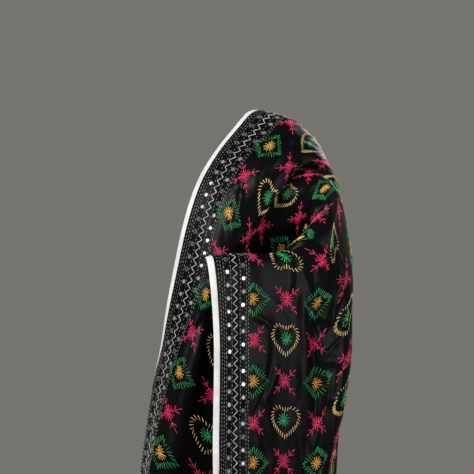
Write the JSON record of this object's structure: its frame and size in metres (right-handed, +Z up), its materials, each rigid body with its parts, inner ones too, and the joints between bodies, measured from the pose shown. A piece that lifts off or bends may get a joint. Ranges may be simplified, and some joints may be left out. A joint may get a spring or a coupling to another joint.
{
  "type": "embroidered dupatta",
  "caption": "Rectangular dupatta draped over a shoulder and forearm, with an embroidered field and border, white edging all round and a deep pleat at the arm.",
  "frame": {"origin": "the cloth's neck-side edge on top of the shoulder, where it is held", "axes": "+X towards the wearer's left arm, -Y to the wearer's front, +Z up"},
  "size_m": [0.4913, 0.438, 1.4634],
  "materials": {
    "ground_cloth": "black silk weave with a soft sheen",
    "edging": "white satin tape"
  },
  "bodies": {
    "root": {"front_fall": "ground_cloth", "shoulder_stretch": "ground_cloth", "back_fall": "ground_cloth", "neck_trim_front": "edging", "neck_trim_shoulder": "edging", "neck_trim_back": "edging", "wrist_trim_front": "edging", "wrist_trim_shoulder": "edging", "wrist_trim_back": "edging", "end_trim_front": "edging", "end_trim_back": "edging"}
  },
  "joints": []
}
